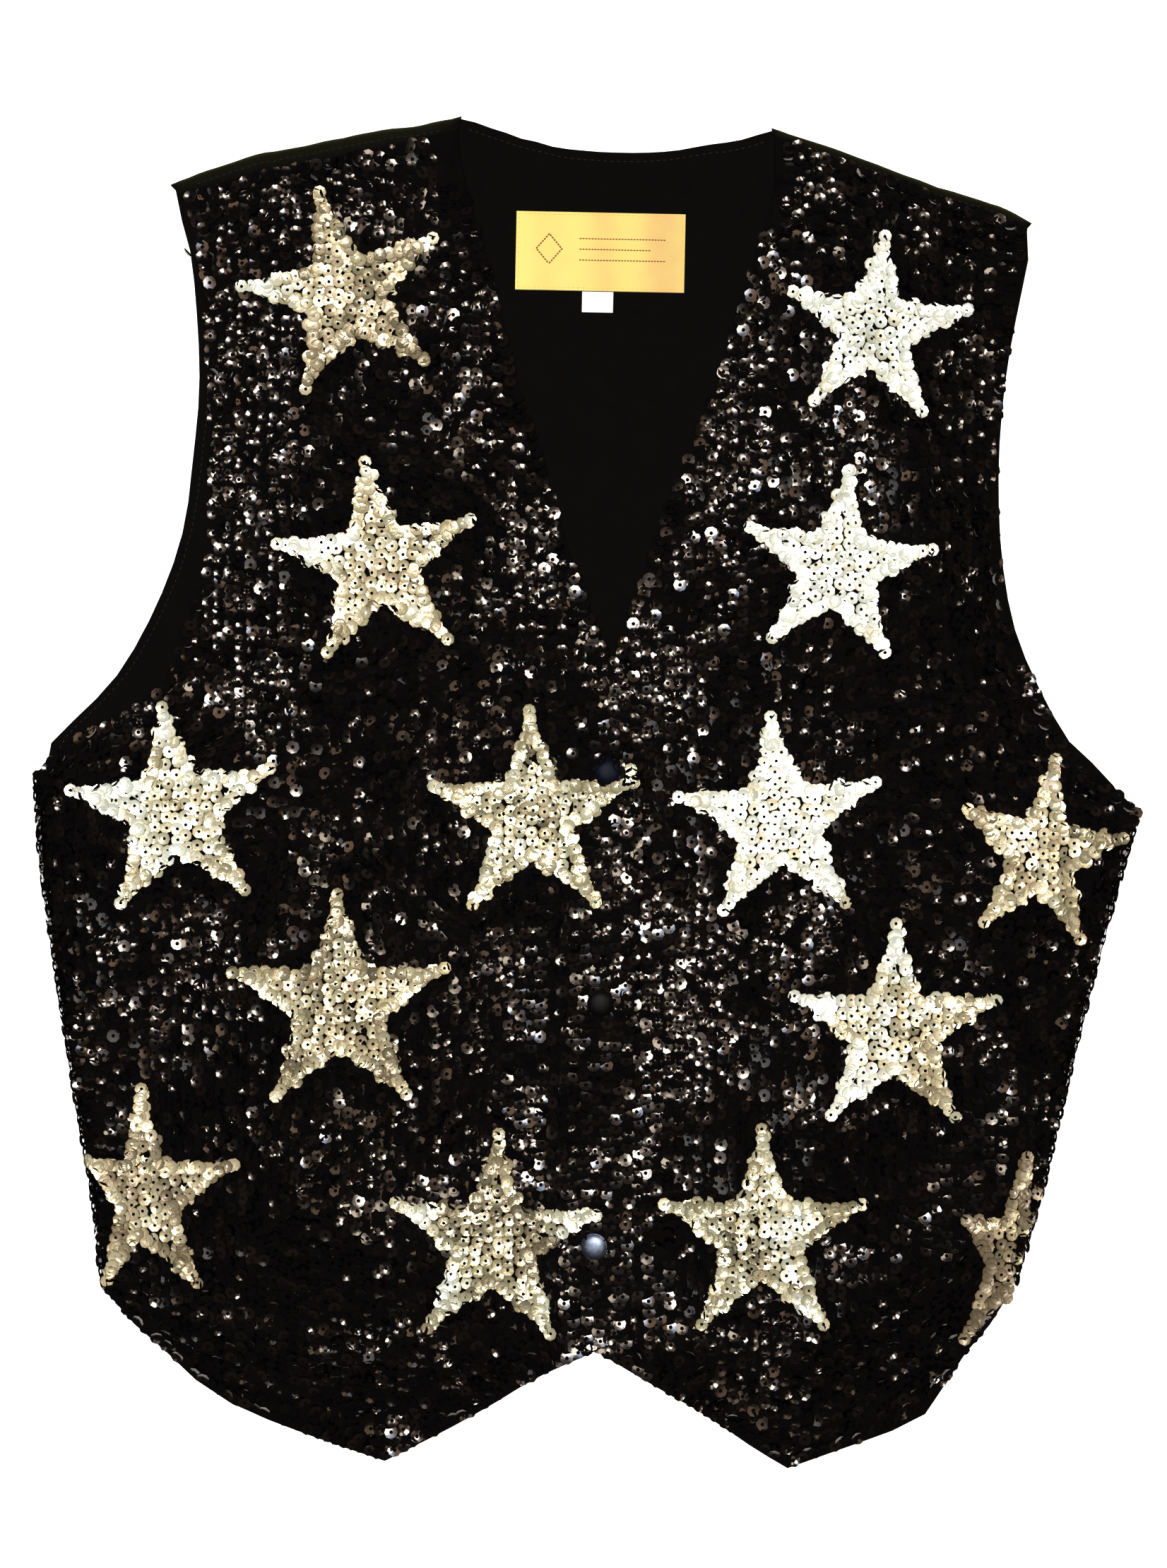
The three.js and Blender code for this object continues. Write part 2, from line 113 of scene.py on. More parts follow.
# Silver stars: middle, tip radius, turn clockwise in degrees, how wide each half looks where
# the cloth turns away at a side, how far it leans sideways for each millimetre up, how bright
# its silver is painted for the light that falls on it, and how much cooler than cream
STARS = table("x y radius turn left right lean shine cool", [
    (-113.5, 232.9, 48.4, -14, 1, 1, 0, 0.22, 0),
    (133.8, 215.8, 43.8, 6, 0.95, 1, 0, 1, 0),
    (-98.0, 106.9, 47.9, -7, 1, 1, 0, 0.45, 0),
    (116.4, 104.9, 45.2, 7, 1, 1, 0, 0.95, 0),
    (-193.0, -9.0, 49.2, -6, 1, 1, 0, 0.58, 0.15),
    (-26.0, -11.4, 49.8, -1, 0.97, 1, 0, 0.38, 0.4),
    (88.8, -13.6, 49.0, -4, 0.97, 1, 0, 0.92, 0),
    (212.2, -28.5, 44.6, 9, 0.88, 0.86, 0, 0.42, 0),
    (-115.8, -99.2, 52.0, -1, 1, 1, 0, 0.26, 0.25),
    (143.2, -111.0, 49.5, 1, 1, 1, 0, 0.6, 0),
    (-209.4, -188.1, 49.4, 1, 0.5, 0.95, 0, 0.28, 0),
    (-43.9, -209.9, 50.8, 3, 0.97, 0.97, 0, 0.06, 0.6),
    (81.5, -207.4, 50.0, 0, 0.97, 0.97, 0, 0.42, 0.55),
    (197.4, -215.2, 49.2, 0, 0.49, 0.4, 0.176, 0, 0),
])
# Arms, or parts of one, with a painted highlight: brighter and more lustrous than the rest of their
# star
PAINTED_HIGHLIGHT_PATCHES = table("x y wide amount", [
    (-152, 232, 26, 0.7),
    (-136, 112, 24, 0.6),
    (106, -98, 22, 0.5),
    (122, -140, 24, 0.5),
    (143, -76, 22, 0.5),
    (-86, -202, 24, 0.9),
    (-68, -228, 24, 0.9),
    (-6, -202, 20, 0.7),
    (-16, -242, 20, 0.7),
    (-228, -4, 26, 0.5),
])

# Where a star's notches lie as a share of its radius, how far its arms and tips reach past the
# plain outline, and the sequins sewn over its edges
STAR_NOTCH = 0.40
STAR_REACH = 1.0
STAR_ARM = 0.2
STAR_MARGIN = 0.4
STAR_SHADE = 7.0
TIP_LENGTH = 13.0
TIP_STEP = 4.2
OUTLINE_INSET = 2.2
OUTLINE_LIFT = 0.9
TIP_LIFT = 1.1
OUTLINE_STEP = 4.4
OUTLINE_STOP = 0.6
OUTLINE_SLIP = 0.4

# How a silver sequin's tone and lustre follow its star's painted brightness, with some play for each
CLOUD_WIDTH = 15
TONE = {"shine": 1.1, "cloud": 0.5, "play": 0.14}
LUSTRE = {"base": 0.3, "shine": 0.5, "play": 0.25}

# The side seam cuts one star short
SIDE_SEAM = {"x": 207.5, "y": -190, "lean": 0.26}
SEAM_STAR = 13

# Soft ridges in the cloth: middle, direction, half length, half width, height. Each wanders
# sideways by a share of its width
RIDGE_WANDER = 0.12
RIDGE_BENDS = 4
FRONT_RIDGES = table("x y angle length width height", [
    (-128, 170, 80, 60, 16, 0.9),
    (-60, 205, 70, 48, 12, 0.6),
    (-70, 60, 30, 52, 15, 0.8),
    (-205, -75, 5, 44, 14, 0.9),
    (-150, -60, 65, 58, 17, 0.8),
    (-70, -110, 86, 66, 15, 0.7),
    (-135, -180, 50, 56, 18, 1.0),
    (-90, -262, 5, 40, 12, 0.6),
    (95, 165, -60, 52, 15, 0.8),
    (160, 130, -85, 60, 16, 0.9),
    (60, 55, -40, 40, 13, 0.7),
    (150, 30, 15, 54, 17, 0.9),
    (70, -75, -78, 62, 16, 0.8),
    (190, -95, -65, 50, 14, 0.8),
    (115, -180, -50, 56, 16, 0.9),
    (60, -262, -10, 38, 12, 0.6),
])
BACK_RIDGES = table("x y angle length width height", [
    (-8, 205, 76, 42, 9, 0.9),
    (22, 175, -66, 34, 8, 0.7),
    (6, 130, 84, 30, 6, 0.6),
    (-30, 284, 10, 26, 6, 0.5),
    (52, 284, -14, 28, 6, 0.5),
])

# The neck edge of the back climbs a little beside each neck point, and the shoulder folds waver
NECK_POINTS = table("x below rise inward", [
    (-59.5, 314, 2.6, 1),
    (86.8, 309, 2.4, -1),
])
NECK_RISE_REACH = 14
NECK_POINT_SLACK = 1.2
FOLD_WAVER = 1.1
FOLD_WAVE = 16
# How fast the painted sheen on the shoulder folds grows as the cloth turns
FOLD_SHEEN_GAIN = 1.4
FOLD_TURNED = 0.3

# Heights and places that tell the parts of the cloth solids apart, and how finely each is cut
FRONT_UPPER_SIDE = 1.5
BACK_UPPER_SIDE = (1.2, 1.6)
STRIPS_ABOVE = 1.7
SHOULDERS_FROM = 250
FRONT_FACES = 7
BACK_FACES = 8
LABEL_FACES = 2.5
SPLIT_ROUNDS = 6
SAME_POINT = 0.01

# Patches where the sequins stand freely and catch more light, or less where the amount is
# below zero. Elsewhere they lie calm
CALM_LEVEL = 0.78
CALM_BY_STAR = 0.6
CALM_PLAY = 0.4
CALM_WIDTH = 26
LIVELY_PATCHES = table("x y wide tall amount", [
    (-160, 165, 36, 115, 1.5),
    (-146, 40, 32, 60, 1.1),
    (-140, 275, 60, 36, 0.8),
    (-62, 215, 28, 70, 0.7),
    (-30, 105, 30, 60, 0.8),
    (28, 55, 40, 38, 1.0),
    (66, 165, 28, 80, 1.0),
    (112, 163, 28, 28, 0.9),
    (150, 265, 50, 26, 0.6),
    (8, -35, 32, 50, 0.55),
    (50, -95, 42, 66, 0.7),
    (102, -66, 26, 32, 0.8),
    (-26, -105, 40, 50, 0.2),
    (-76, -58, 34, 36, -0.5),
    (-172, -95, 34, 50, 0.8),
    (-226, -80, 26, 60, 0.5),
    (-210, 40, 40, 30, 0.4),
    (24, -215, 44, 56, -0.4),
    (84, -270, 44, 36, 0.7),
    (96, 268, 30, 40, 0.6),
    (-100, 24, 44, 54, -0.35),
    (172, 60, 50, 90, -0.3),
    (164, -205, 50, 70, -0.4),
    (118, -150, 26, 30, 0.5),
    (180, 185, 28, 90, 0.45),
    (-6, -128, 44, 44, -0.3),
    (-84, -270, 50, 36, 0.5),
    (-105, -165, 34, 44, 0.3),
])


# Shared shader effects

def feed(tree, socket, value):
    """Links an output to a socket, or sets a plain value on it."""
    if isinstance(value, bpy.types.NodeSocket):
        tree.links.new(value, socket)
    else:
        socket.default_value = value


def math_node(tree, operation, first, second=None):
    """A math node with each input either a number or an output."""
    node = tree.nodes.new("ShaderNodeMath")
    node.operation = operation
    feed(tree, node.inputs[0], first)
    if second is not None:
        feed(tree, node.inputs[1], second)
    return node.outputs[0]


def mixed(tree, first, second, factor, blend="MIX"):
    """Two colours mixed, each a plain one or an output."""
    node = tree.nodes.new("ShaderNodeMix")
    node.data_type = "RGBA"
    node.blend_type = blend
    feed(tree, node.inputs["Factor"], factor)
    feed(tree, node.inputs["A"], first)
    feed(tree, node.inputs["B"], second)
    return node.outputs["Result"]


def weave_group():
    """Over-and-under threads: their height, and how rubbed each patch is."""
    group = bpy.data.node_groups.new("plain_weave", "ShaderNodeTree")
    for label in ("Threads per metre", "Unevenness"):
        group.interface.new_socket(label, in_out="INPUT", socket_type="NodeSocketFloat")
    for label in ("Height", "Shade"):
        group.interface.new_socket(label, in_out="OUTPUT", socket_type="NodeSocketFloat")
    entry = group.nodes.new("NodeGroupInput")
    leave = group.nodes.new("NodeGroupOutput")
    place = own_place(group)
    turns = math_node(group, "MULTIPLY", entry.outputs["Threads per metre"], math.pi)
    across = math_node(group, "SINE", math_node(group, "MULTIPLY", place["X"], turns))
    along = math_node(group, "SINE", math_node(group, "MULTIPLY", place["Y"], turns))
    checker = math_node(group, "MULTIPLY", across, along)
    warp = math_node(group, "ABSOLUTE", checker)
    cloud = object_noise(group, 90, 5)
    uneven = math_node(group, "MULTIPLY", cloud, entry.outputs["Unevenness"])
    group.links.new(math_node(group, "ADD", warp, uneven), leave.inputs["Height"])
    group.links.new(cloud, leave.inputs["Shade"])
    return group


def new_material(name, **plain):
    """A material with the plain values set on its own shader."""
    material = bpy.data.materials.new(name)
    material.use_nodes = True
    shader = material.node_tree.nodes["Principled BSDF"]
    for socket, value in plain.items():
        shader.inputs[socket.replace("_", " ")].default_value = value
    return material, material.node_tree, shader


def colour_ramp(tree, stops, source):
    """A ramp through (place, colour) stops, driven by source."""
    ramp = tree.nodes.new("ShaderNodeValToRGB")
    elements = ramp.color_ramp.elements
    while len(elements) < len(stops):
        elements.new(0.5)
    for element, (place, colour) in zip(elements, stops):
        element.position = place
        element.color = (*colour, 1)
    tree.links.new(source, ramp.inputs["Fac"])
    return ramp.outputs["Color"]


def between(tree, source, low, high, from_low=0, from_high=1):
    """Maps source onto low to high."""
    node = tree.nodes.new("ShaderNodeMapRange")
    node.inputs["From Min"].default_value = from_low
    node.inputs["From Max"].default_value = from_high
    node.inputs["To Min"].default_value = low
    node.inputs["To Max"].default_value = high
    tree.links.new(source, node.inputs["Value"])
    return node.outputs["Result"]


def connect(tree, shader, **outputs):
    """Feeds outputs into the shader's sockets of those names."""
    for socket, output in outputs.items():
        tree.links.new(output, shader.inputs[socket.replace("_", " ")])


def bump(tree, shader, height, strength, distance):
    """Feeds a height into the shader's normal."""
    node = tree.nodes.new("ShaderNodeBump")
    node.inputs["Strength"].default_value = strength
    node.inputs["Distance"].default_value = distance
    tree.links.new(height, node.inputs["Height"])
    connect(tree, shader, Normal=node.outputs["Normal"])


def attribute(tree, name):
    """A value kept on the piece's points."""
    node = tree.nodes.new("ShaderNodeAttribute")
    node.attribute_name = name
    return node.outputs["Fac"]


def object_noise(tree, scale, detail=4):
    """Noise fixed to the piece."""
    place = tree.nodes.new("ShaderNodeTexCoord")
    node = tree.nodes.new("ShaderNodeTexNoise")
    node.inputs["Scale"].default_value = scale
    node.inputs["Detail"].default_value = detail
    tree.links.new(place.outputs["Object"], node.inputs["Vector"])
    return node.outputs["Fac"]


def own_place(tree):
    """A point's own X, Y and Z."""
    place = tree.nodes.new("ShaderNodeTexCoord")
    split = tree.nodes.new("ShaderNodeSeparateXYZ")
    tree.links.new(place.outputs["Object"], split.inputs[0])
    return split.outputs


WEAVE = weave_group()


def add_weave(tree, threads, unevenness):
    """The shared weave, with its height and shade."""
    node = tree.nodes.new("ShaderNodeGroup")
    node.node_tree = WEAVE
    node.inputs["Threads per metre"].default_value = threads
    node.inputs["Unevenness"].default_value = unevenness
    return node.outputs["Height"], node.outputs["Shade"]


# Finishes

def black_sequin_finish():
    """Glossy black film, each sequin a little different."""
    material, tree, shader = new_material("black_sequin", IOR=1.62, Specular_Tint=(1.0, 0.87, 0.77, 1))
    tone = attribute(tree, "tone")
    stops = [(0, (0.0006, 0.0006, 0.0008)), (0.7, (0.0014, 0.0012, 0.0012)), (1, (0.006, 0.004, 0.003))]
    roughness = between(tree, attribute(tree, "lustre"), 0.20, 0.08)
    connect(tree, shader, Base_Color=colour_ramp(tree, stops, tone), Roughness=roughness)
    bump(tree, shader, object_noise(tree, 210, 2), 0.5, 0.0003)
    return material


def silver_sequin_finish():
    """Silvered film, from bright cream to duller beige as its tone carries painted brightness, with
    painted shade towards each sequin's rim.
    """
    material, tree, shader = new_material("silver_sequin", IOR=1.5)
    tone = attribute(tree, "tone")
    stops = [
        (0, (0.18, 0.15, 0.10)),
        (0.35, (0.46, 0.40, 0.26)),
        (0.65, (0.70, 0.65, 0.48)),
        (1, (0.97, 0.96, 0.88)),
    ]
    lustre = attribute(tree, "lustre")
    tints = [(0, (1.0, 0.93, 0.88)), (0.5, (1.0, 0.99, 0.91)), (1, (0.94, 1.0, 0.97))]
    silver = colour_ramp(tree, stops, tone)
    tinted = mixed(tree, silver, colour_ramp(tree, tints, lustre), 1, "MULTIPLY")
    # Painted shade: a brown darkening towards each silver sequin's rim, where its neighbours overlap
    # it, weaker on bright sequins
    at_edge = math_node(tree, "POWER", attribute(tree, "rim"), 2.5)
    painted_rim_shade = math_node(tree, "MULTIPLY", at_edge, between(tree, tone, 1.0, 0.3))
    rim_shaded = mixed(tree, tinted, (0.62, 0.50, 0.34, 1), painted_rim_shade, "MULTIPLY")
    connect(tree, shader, Base_Color=rim_shaded, Roughness=between(tree, lustre, 0.38, 0.18))
    connect(tree, shader, Metallic=between(tree, lustre, 0.3, 0.5))
    bump(tree, shader, object_noise(tree, 480), 0.8, 0.0004)
    return material


def base_cloth_finish():
    """Black stretch cloth under the sequins."""
    material, tree, shader = new_material("sequin_base_cloth", Roughness=0.85, Specular_IOR_Level=0.03)
    height, shade = add_weave(tree, 2200, 0.4)
    stops = [(0.3, (0.0010, 0.0008, 0.0008)), (0.7, (0.0022, 0.0018, 0.0017))]
    connect(tree, shader, Base_Color=colour_ramp(tree, stops, shade))
    bump(tree, shader, height, 0.5, 0.0003)
    return material


def back_cloth_finish():
    """Matt plain-woven black cloth, with a painted olive sheen where the shoulder folds turn over."""
    material, tree, shader = new_material("plain_back_cloth", Specular_IOR_Level=0.06)
    height, shade = add_weave(tree, 2600, 0.35)
    stops = [(0.3, (0.0007, 0.0005, 0.0005)), (0.7, (0.0016, 0.0012, 0.0010))]
    plain = colour_ramp(tree, stops, shade)
    # Painted sheen: an olive tint on the shoulder folds, where the cloth turns to face the top edge
    with_fold_sheen = mixed(tree, plain, (0.022, 0.024, 0.006, 1), attribute(tree, "folded"))
    connect(tree, shader, Base_Color=with_fold_sheen, Roughness=between(tree, shade, 0.78, 0.95))
    bump(tree, shader, height, 0.5, 0.0003)
    return material


def label_finish():
    """Satin-woven gold with painted sheen: warmer towards one end, in soft bands."""
    material, tree, shader = new_material(
        "gold_label", Sheen_Weight=0.2, Sheen_Roughness=0.4, Specular_IOR_Level=0.35
    )
    height, shade = add_weave(tree, 3400, 0.5)
    # Painted sheen: the gold warms across the label and in soft upright bands, as satin catches light
    across = own_place(tree)["X"]
    painted_sheen_ramp = between(tree, across, 0, 0.62, -0.034, 0.046)
    painted_sheen_bands = math_node(tree, "SINE", math_node(tree, "MULTIPLY", across, 235))
    with_painted_sheen = math_node(tree, "ADD", painted_sheen_ramp, math_node(tree, "MULTIPLY", painted_sheen_bands, 0.14))
    spotted = math_node(tree, "ADD", with_painted_sheen, math_node(tree, "MULTIPLY", shade, 0.35))
    stops = [(0.1, (0.67, 0.59, 0.16)), (0.5, (0.66, 0.52, 0.145)), (1, (0.58, 0.34, 0.125))]
    colour = colour_ramp(tree, stops, spotted)
    connect(tree, shader, Base_Color=colour, Roughness=between(tree, shade, 0.5, 0.7))
    bump(tree, shader, height, 0.45, 0.0002)
    return material


def tape_finish():
    """White woven tape."""
    material, tree, shader = new_material("white_tape", Specular_IOR_Level=0.25)
    height, shade = add_weave(tree, 3000, 0.4)
    stops = [(0.3, (0.72, 0.70, 0.66)), (0.7, (0.86, 0.85, 0.82))]
    colour = colour_ramp(tree, stops, shade)
    connect(tree, shader, Base_Color=colour, Roughness=between(tree, shade, 0.75, 0.9))
    bump(tree, shader, height, 0.5, 0.0002)
    return material


def thread_finish(name, dark, light):
    """Twisted sewing thread."""
    material, tree, shader = new_material(name, Specular_IOR_Level=0.2)
    twist = object_noise(tree, 2600, 2)
    colour = colour_ramp(tree, [(0.3, dark), (0.7, light)], twist)
    connect(tree, shader, Base_Color=colour, Roughness=between(tree, twist, 0.55, 0.8))
    bump(tree, shader, twist, 0.4, 0.0001)
    return material


def cap_finish(name, dark, light, smoothest, roughest, metallic=0):
    """Painted metal with fine handling marks."""
    material, tree, shader = new_material(name, Metallic=metallic, Specular_IOR_Level=0.05)
    marks = object_noise(tree, 700, 6)
    colour = colour_ramp(tree, [(0.3, dark), (0.7, light)], marks)
    roughness = between(tree, marks, smoothest, roughest)
    connect(tree, shader, Base_Color=colour, Roughness=roughness)
    bump(tree, shader, marks, 0.08, 0.0001)
    return material


def table_finish():
    """Plain pale table top."""
    material, tree, shader = new_material(
        "pale_table",
        Roughness=0.8,
        Specular_IOR_Level=0.1,
        Emission_Color=(0.97, 0.98, 0.98, 1),
        Emission_Strength=0.8,
    )
    material.cycles.emission_sampling = "NONE"
    grain = object_noise(tree, 4, 2)
    stops = [(0.3, (0.90, 0.90, 0.90)), (0.7, (0.92, 0.92, 0.92))]
    connect(tree, shader, Base_Color=colour_ramp(tree, stops, grain))
    return material


BLACK_SEQUIN = black_sequin_finish()
SILVER_SEQUIN = silver_sequin_finish()
BASE_CLOTH = base_cloth_finish()
BACK_CLOTH = back_cloth_finish()
GOLD_LABEL = label_finish()
WHITE_TAPE = tape_finish()
BLACK_THREAD = thread_finish("black_thread", (0.003, 0.003, 0.003), (0.009, 0.008, 0.008))
GOLD_THREAD = thread_finish("gold_thread", (0.55, 0.30, 0.06), (0.80, 0.50, 0.14))
BROWN_THREAD = thread_finish("brown_thread", (0.16, 0.03, 0.015), (0.30, 0.07, 0.03))
NAVY_LACQUER = cap_finish("navy_lacquer", (0.001, 0.0016, 0.005), (0.002, 0.003, 0.009), 0.4, 0.55)
# Painted shade: the middle cap is painted near black, darker than the top cap's lacquer, as the shade
# of a cap that catches little light
SHADED_CAP_LACQUER = cap_finish("cap_lacquer_painted_dark", (0.001, 0.0008, 0.0008), (0.002, 0.0014, 0.0014), 0.4, 0.55)
GUNMETAL = cap_finish("gunmetal", (0.10, 0.12, 0.17), (0.17, 0.20, 0.26), 0.36, 0.46, 1)


# Making pieces

def mesh_of(work, name):
    """Turns a finished bmesh into a mesh."""
    mesh = bpy.data.meshes.new(name)
    work.to_mesh(mesh)
    work.free()
    return mesh


def shown(name, mesh, material):
    """An object that shows a mesh in one finish."""
    mesh.materials.append(material)
    piece = bpy.data.objects.new(name, mesh)
    bpy.context.scene.collection.objects.link(piece)
    return piece


def finish_piece(work, name, material, smooth_below=40):
    """Makes an object from a bmesh, with edges over the angle kept sharp."""
    limit = math.radians(smooth_below)
    for face in work.faces:
        face.smooth = True
    for edge in work.edges:
        if len(edge.link_faces) == 2:
            edge.smooth = edge.calc_face_angle(0) < limit
    piece = shown(name, mesh_of(work, name), material)
    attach(piece, "root")
    return piece


def bell(share):
    """1 in the middle, falling softly to 0 at a share of 1."""
    return (1 - share * share) ** 2 if abs(share) < 1 else 0


def clamped(value):
    """The value, kept from 0 to 1."""
    return min(1, max(0, value))


def spin_round(work, geometry, steps, same_point):
    """Turns a profile once round the upright axis, and closes it."""
    bmesh.ops.spin(
        work,
        geom=geometry,
        axis=UP,
        cent=(0, 0, 0),
        angle=math.tau,
        steps=steps,
        use_merge=True,
    )
    bmesh.ops.remove_doubles(work, verts=work.verts, dist=same_point)
    bmesh.ops.recalc_face_normals(work, faces=work.faces)


def ridge_height(x, y, ridges):
    """How far the ridges lift the cloth at a point, in metres."""
    total = 0
    for ridge in ridges:
        turn = math.radians(ridge["angle"])
        dx = x / MM - ridge["x"]
        dy = y / MM - ridge["y"]
        along = dx * math.cos(turn) + dy * math.sin(turn)
        across = dy * math.cos(turn) - dx * math.sin(turn)
        bend = math.sin(along / ridge["length"] * RIDGE_BENDS + ridge["x"])
        across += RIDGE_WANDER * ridge["width"] * bend
        total += ridge["height"] * bell(along / ridge["length"]) * bell(across / ridge["width"])
    return total * MM


def merged_copy(node):
    """A copy of a solid's mesh, with its loose triangles joined up."""
    work = bmesh.new()
    work.from_mesh(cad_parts[node].data)
    bmesh.ops.remove_doubles(work, verts=work.verts, dist=SAME_POINT * MM)
    bmesh.ops.join_triangles(
        work,
        faces=work.faces,
        angle_face_threshold=math.radians(25),
        angle_shape_threshold=math.radians(60),
    )
    return work


def refined(work, longest):
    """Splits the edges over the longest length, over and over."""
    for _ in range(SPLIT_ROUNDS):
        long_edges = [e for e in work.edges if e.calc_length() > longest]
        bmesh.ops.subdivide_edges(work, edges=long_edges, cuts=1, use_grid_fill=True)
        corners = [f for f in work.faces if len(f.verts) > 4]
        bmesh.ops.triangulate(work, faces=corners)


def front_shell(node, name):
    """A front's cloth with its soft ridges."""
    work = merged_copy(node)
    refined(work, FRONT_FACES * MM)
    for vert in work.verts:
        if vert.co.z > FRONT_UPPER_SIDE * MM:
            vert.co.z += ridge_height(vert.co.x, vert.co.y, FRONT_RIDGES)
    bmesh.ops.recalc_face_normals(work, faces=work.faces)
    piece = finish_piece(work, name, BASE_CLOTH)
    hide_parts(node)
    return piece


def neck_rise(x, y):
    """How far the neck edge of the back climbs beside each neck point, in millimetres."""
    total = 0
    for point in NECK_POINTS:
        inside = (x - point["x"]) * point["inward"] > -NECK_POINT_SLACK
        if inside and point["below"] - NECK_RISE_REACH < y < point["below"]:
            total += point["rise"] * bell((x - point["x"]) / NECK_RISE_REACH)
    return total


def back_shell():
    """The back's cloth. Only its upper side rises, since it lies on the table."""
    work = merged_copy("back")
    refined(work, BACK_FACES * MM)
    bmesh.ops.recalc_face_normals(work, faces=work.faces)
    work.normal_update()
    folded = work.verts.layers.float.new("folded")
    for vert in work.verts:
        x, y, z = vert.co / MM
        # The folded value marks the painted sheen on the shoulder folds, from how far the cloth faces
        # the top edge
        turned = max(0, vert.normal.y) if y > SHOULDERS_FROM else 0
        vert[folded] = min(1, FOLD_SHEEN_GAIN * turned) if z > STRIPS_ABOVE else 0
        if turned > FOLD_TURNED:
            wave = abs(noise.noise(Vector((x / FOLD_WAVE, FOLD_LAYER, 0))))
            vert.co.y += FOLD_WAVER * wave * MM
        if z < STRIPS_ABOVE:
            vert.co.y += neck_rise(x, y) * MM
        if BACK_UPPER_SIDE[0] < z < BACK_UPPER_SIDE[1]:
            vert.co.z += ridge_height(vert.co.x, vert.co.y, BACK_RIDGES)
    piece = finish_piece(work, "back_shell", BACK_CLOTH)
    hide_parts("back")
    return piece


def surface_of(piece):
    """A tree that answers where a ray meets the piece."""
    work = bmesh.new()
    work.from_mesh(piece.data)
    tree = BVHTree.FromBMesh(work)
    work.free()
    return tree


# Rays start this far above the table or out to a side, in metres, and only count where the
# surface faces them well enough
RAY_ABOVE = 0.05
RAY_OUT = 0.35
FACES_UP = 0.3
FACES_OUT = 0.2


def hit_from_above(tree, x, y):
    """Where a ray straight down at x, y in millimetres meets the surface."""
    place, normal = tree.ray_cast(Vector((x * MM, y * MM, RAY_ABOVE)), -UP)[:2]
    return (place, normal) if place is not None and normal.z > FACES_UP else (None, None)


# Sequins

# Over the lap at the centre the sequins bridge the step, and follow the cloth this much less
LAP_REACH = 30
LAP_BRIDGING = 2.0
LAP_CLEARANCE = 4

# How near a cap's middle a sequin may be sewn. Those round the top cap lap over its rim
CAPS = {"snap_cap_top": 4.3, "snap_cap_middle": 6.4, "snap_cap_bottom": 6.6}
CAP_LAP = 7.6
CAP_LAP_CLIMB = 2
CAP_LAP_LIFT = 1.3
CAP_LAP_TILT = 21.0


def cap_middles():
    """The middle of each cap, and the room that it keeps."""
    found = []
    for name, keep in CAPS.items():
        low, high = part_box(name)
        middle = (low + high) / 2
        found.append((middle.x / MM, middle.y / MM, keep))
    return found


CAP_MIDDLES = cap_middles()


def under_cap(x, y):
    """Whether a cap keeps sequins away from a point."""
    return any(math.hypot(x - cx, y - cy) < keep for cx, cy, keep in CAP_MIDDLES)


def top_cap_distance(x, y):
    """How far a point is from the top cap's middle."""
    return math.hypot(x - CAP_MIDDLES[0][0], y - CAP_MIDDLES[0][1])


def away_from_cap(x, y):
    """Tilts that lean a sequin against the top cap's dome."""
    far = max(0.1, top_cap_distance(x, y))
    dx = (x - CAP_MIDDLES[0][0]) / far
    dy = (y - CAP_MIDDLES[0][1]) / far
    return CAP_LAP_TILT * dy, CAP_LAP_TILT * dx


def sequin_pattern(slopes, hole):
    """One cup sequin with its hole, a flatter middle and a turned-up rim, 1 mm to the unit."""
    middle, rim = (math.tan(math.radians(slope)) for slope in slopes)
    crease = (SEQUIN_CREASE - hole) * middle
    rise = crease + (SEQUIN_RADIUS - SEQUIN_CREASE) * rim
    corners = [
        (hole, 0, 0),
        (SEQUIN_CREASE, 0, crease),
        (SEQUIN_RADIUS, 0, rise),
        (SEQUIN_RADIUS * SEQUIN_UNDERSIDE, 0, crease - SEQUIN_WALL),
    ]
    work = bmesh.new()
    at_rim = work.verts.layers.float.new("rim")
    verts = [work.verts.new(corner) for corner in corners]
    for vert in verts[2:]:
        vert[at_rim] = 1
    ring = [work.edges.new((verts[i], verts[(i + 1) % 4])) for i in range(4)]
    spin_round(work, verts + ring, SEQUIN_SIDES, SAME_POINT)
    for face in work.faces:
        face.smooth = True
    for edge in work.edges:
        edge.smooth = edge.calc_face_angle(0) < math.radians(70)
    return mesh_of(work, "sequin_pattern")


BLACK_PATTERNS = [sequin_pattern(slopes, BLACK_HOLE) for slopes in CUP_SLOPES]
SILVER_PATTERNS = [sequin_pattern(slopes, SILVER_HOLE) for slopes in CUP_SLOPES]


def star_depth(star, x, y):
    """How far inside a star's outline a point is, in millimetres."""
    dy = y - star["y"]
    dx = x - star["x"] - dy * star["lean"]
    dx /= star["left"] if dx < 0 else star["right"]
    far = math.hypot(dx, dy)
    angle = math.atan2(dx, dy) - math.radians(star["turn"])
    fold = abs((angle + math.pi / 5) % (math.tau / 5) - math.pi / 5)
    tip = Vector((0, star["radius"]))
    notch = Vector((math.sin(math.pi / 5), math.cos(math.pi / 5))) * STAR_NOTCH * star["radius"]
    edge = (notch - tip).normalized()
    here = Vector((math.sin(fold), math.cos(fold))) * far
    ray = here - tip
    arm = min(STAR_ARM - here.x, star["radius"] + STAR_REACH - here.y)
    return max(arm, ray.x * edge.y - ray.y * edge.x)


def deepest_star(x, y):
    """The depth in the star nearest to a point, and that star's number."""
    return max((star_depth(star, x, y), number) for number, star in enumerate(STARS))


